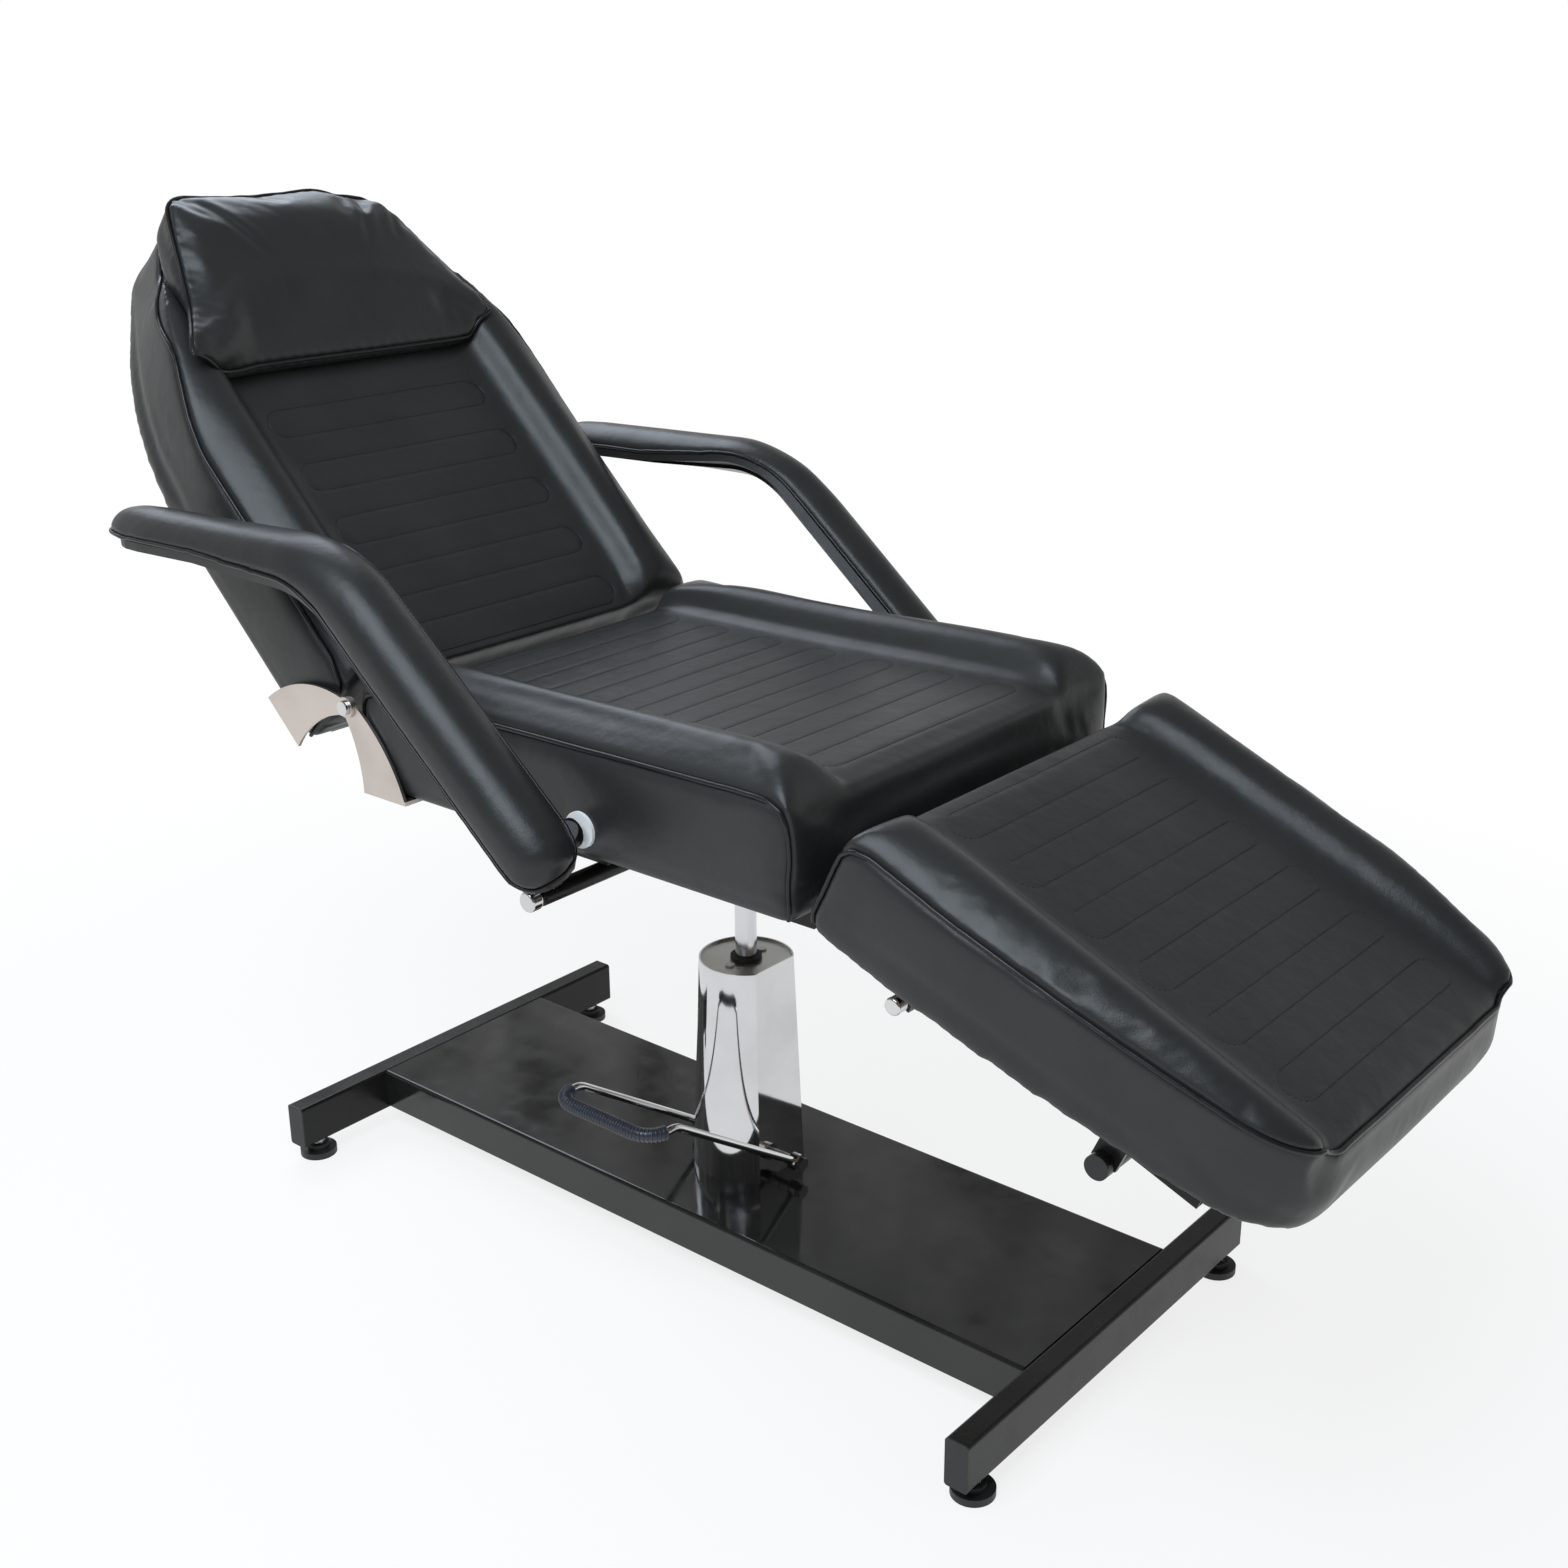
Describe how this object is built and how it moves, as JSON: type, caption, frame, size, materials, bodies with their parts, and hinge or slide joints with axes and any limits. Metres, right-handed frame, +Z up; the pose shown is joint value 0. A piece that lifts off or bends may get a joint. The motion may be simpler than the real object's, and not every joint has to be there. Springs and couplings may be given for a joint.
{
  "type": "tattoo chair",
  "caption": "Reclining padded treatment chair on a hydraulic pedestal with swivel, armrests, head pillow, legrest and foot pedal.",
  "frame": {"origin": "on the floor, in the middle of the box around the whole chair", "axes": "+X towards the foot end, +Y towards the side away from the pedal, +Z up"},
  "size_m": [1.8778, 0.8444, 1.2678],
  "materials": {
    "black_vinyl": "soft sheen",
    "black_paint": "gloss",
    "chrome": "polished",
    "polished_steel": "polished",
    "brushed_lid": "brushed",
    "steel_rod": "ground",
    "zinc_steel": "zinc plated",
    "black_plastic": "matt",
    "black_rubber": "matt",
    "grip_plastic": "gloss",
    "white_plastic": "matt",
    "plywood": "raw",
    "pump_iron": "painted"
  },
  "bodies": {
    "base": {"front_crossbar": "black_paint", "rear_crossbar": "black_paint", "crossbar_end_caps": "black_plastic", "deck_plate": "black_paint", "foot_pads": "black_plastic", "foot_studs": "zinc_steel", "foot_nuts": "zinc_steel", "pump_flange": "pump_iron", "flange_bolts": "zinc_steel", "pump_cylinder": "pump_iron", "pump_housing": "chrome", "housing_lid": "brushed_lid", "lid_screws": "zinc_steel", "rod_seal": "black_rubber"},
    "pedal": {"pedal_shaft": "zinc_steel", "pedal_rod": "chrome", "pedal_grip": "grip_plastic", "pedal_nuts": "chrome"},
    "lift": {"piston_rod": "steel_rod"},
    "seat": {"swivel_head": "black_paint", "head_bolts": "zinc_steel", "seat_frame": "black_paint", "seat_board": "plywood", "seat_cushion": "black_vinyl", "seat_hinge_plates": "polished_steel", "back_pivot_bolts": "chrome", "arm_mounts": "black_paint", "arm_studs": "chrome", "arm_washers": "white_plastic", "seat_release_guide": "black_paint", "leg_hinge_ears": "black_paint", "leg_hinge_pins": "zinc_steel"},
    "seat_release": {"seat_release_rod": "chrome", "seat_release_knob": "chrome"},
    "backrest": {"back_frame": "black_paint", "back_board": "plywood", "back_cushion": "black_vinyl", "back_hinge_plates": "polished_steel", "head_pillow": "black_vinyl"},
    "legrest": {"leg_frame": "black_paint", "leg_knuckles": "black_paint", "leg_board": "plywood", "leg_cushion": "black_vinyl", "leg_cross_tube": "black_paint", "leg_tube_caps": "black_plastic", "leg_tube_brackets": "black_paint", "leg_release_guide": "black_paint"},
    "leg_release": {"leg_release_rod": "chrome", "leg_release_knob": "chrome"},
    "left_arm": {"left_arm_pad": "black_vinyl", "left_arm_board": "black_plastic", "left_arm_frame": "black_paint"},
    "right_arm": {"right_arm_pad": "black_vinyl", "right_arm_board": "black_plastic", "right_arm_frame": "black_paint"}
  },
  "joints": [
    {"name": "pedal_press", "type": "hinge", "parent": "base", "child": "pedal", "pos_m": [0.05385, 0, 0.104], "axis": [1, 0, 0], "range_deg": [0, 22], "stiffness_Nm_per_rad": 8, "springref_deg": -34.38},
    {"name": "lift_slide", "type": "slide", "parent": "base", "child": "lift", "axis": [0, 0, 1], "range_m": [-0.135, 0]},
    {"name": "seat_swivel", "type": "hinge", "parent": "lift", "child": "seat", "pos_m": [0.05385, 0, 0.56], "axis": [0, 0, 1], "continuous": true},
    {"name": "backrest_recline", "type": "hinge", "parent": "seat", "child": "backrest", "pos_m": [-0.29815, 0, 0.7095], "axis": [0, 1, 0], "range_deg": [-45, 20]},
    {"name": "legrest_tilt", "type": "hinge", "parent": "seat", "child": "legrest", "pos_m": [0.38985, 0, 0.6], "axis": [0, 1, 0], "range_deg": [-23.5, 30]},
    {"name": "left_arm_lift", "type": "hinge", "parent": "seat", "child": "left_arm", "pos_m": [0.08685, 0.381, 0.645], "axis": [0, 1, 0], "range_deg": [0, 75]},
    {"name": "right_arm_lift", "type": "hinge", "parent": "seat", "child": "right_arm", "pos_m": [0.08685, -0.381, 0.645], "axis": [0, 1, 0], "range_deg": [0, 75]},
    {"name": "backrest_release", "type": "hinge", "parent": "seat", "child": "seat_release", "pos_m": [0.06385, -0.352, 0.573], "axis": [0, 1, 0], "range_deg": [0, 30], "stiffness_Nm_per_rad": 0.5, "springref_deg": -28.65},
    {"name": "legrest_release", "type": "hinge", "parent": "legrest", "child": "leg_release", "pos_m": [0.47685, -0.24, 0.53321], "axis": [0, 1, 0], "range_deg": [0, 30], "stiffness_Nm_per_rad": 0.3, "springref_deg": -28.65}
  ]
}
